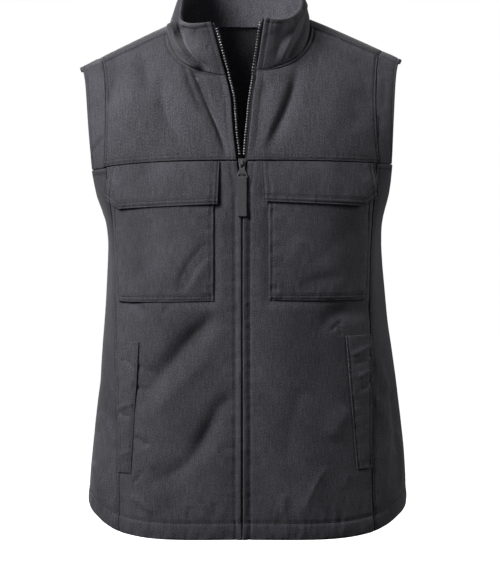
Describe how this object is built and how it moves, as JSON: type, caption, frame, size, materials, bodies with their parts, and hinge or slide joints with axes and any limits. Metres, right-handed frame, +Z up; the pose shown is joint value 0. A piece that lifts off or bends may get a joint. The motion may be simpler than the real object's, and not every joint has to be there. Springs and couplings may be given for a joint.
{
  "type": "insulated work vest",
  "caption": "Padded sleeveless work vest with stand collar, metal front zip open at the chest, flap chest pockets and slanted hand pockets, in its worn form.",
  "frame": {"origin": "midway between the neck ends of the shoulders, where the vest sits on the wearer's shoulders", "axes": "+Z up the upright wearer, +X to the wearer's left, the front faces -Y"},
  "size_m": [0.4423, 0.2756, 0.7533],
  "materials": {
    "canvas": "dark slate-grey cotton canvas, matt, with a fine upright grain",
    "webbing": "dark grey herringbone tape",
    "zip_tape": "black woven zip tape",
    "zip_metal": "worn silver-grey metal"
  },
  "bodies": {
    "vest": {"front_panel_right": "canvas", "front_panel_left": "canvas", "front_yoke_right": "canvas", "front_yoke_left": "canvas", "armhole_band_front_right": "canvas", "armhole_band_front_left": "canvas", "armhole_band_back_right": "canvas", "armhole_band_back_left": "canvas", "side_panel_right": "canvas", "side_panel_left": "canvas", "back_panel": "canvas", "collar": "canvas", "chest_pocket_right": "canvas", "chest_pocket_left": "canvas", "chest_flap_right": "canvas", "chest_flap_left": "canvas", "hand_welt_right": "canvas", "hand_welt_left": "canvas", "zip_tape_right": "zip_tape", "zip_tape_left": "zip_tape", "zip_teeth_right": "zip_metal", "zip_teeth_left": "zip_metal", "zip_chain_closed": "zip_metal", "zip_slider": "zip_metal"},
    "zip_pull": {"zip_pull_tab": "zip_metal", "zip_pull_tape": "webbing"}
  },
  "joints": [
    {"name": "zip_pull_hinge", "type": "hinge", "parent": "vest", "child": "zip_pull", "pos_m": [0, -0.13207, -0.19075], "axis": [-1, 0, 0], "range_deg": [0, 150]}
  ]
}
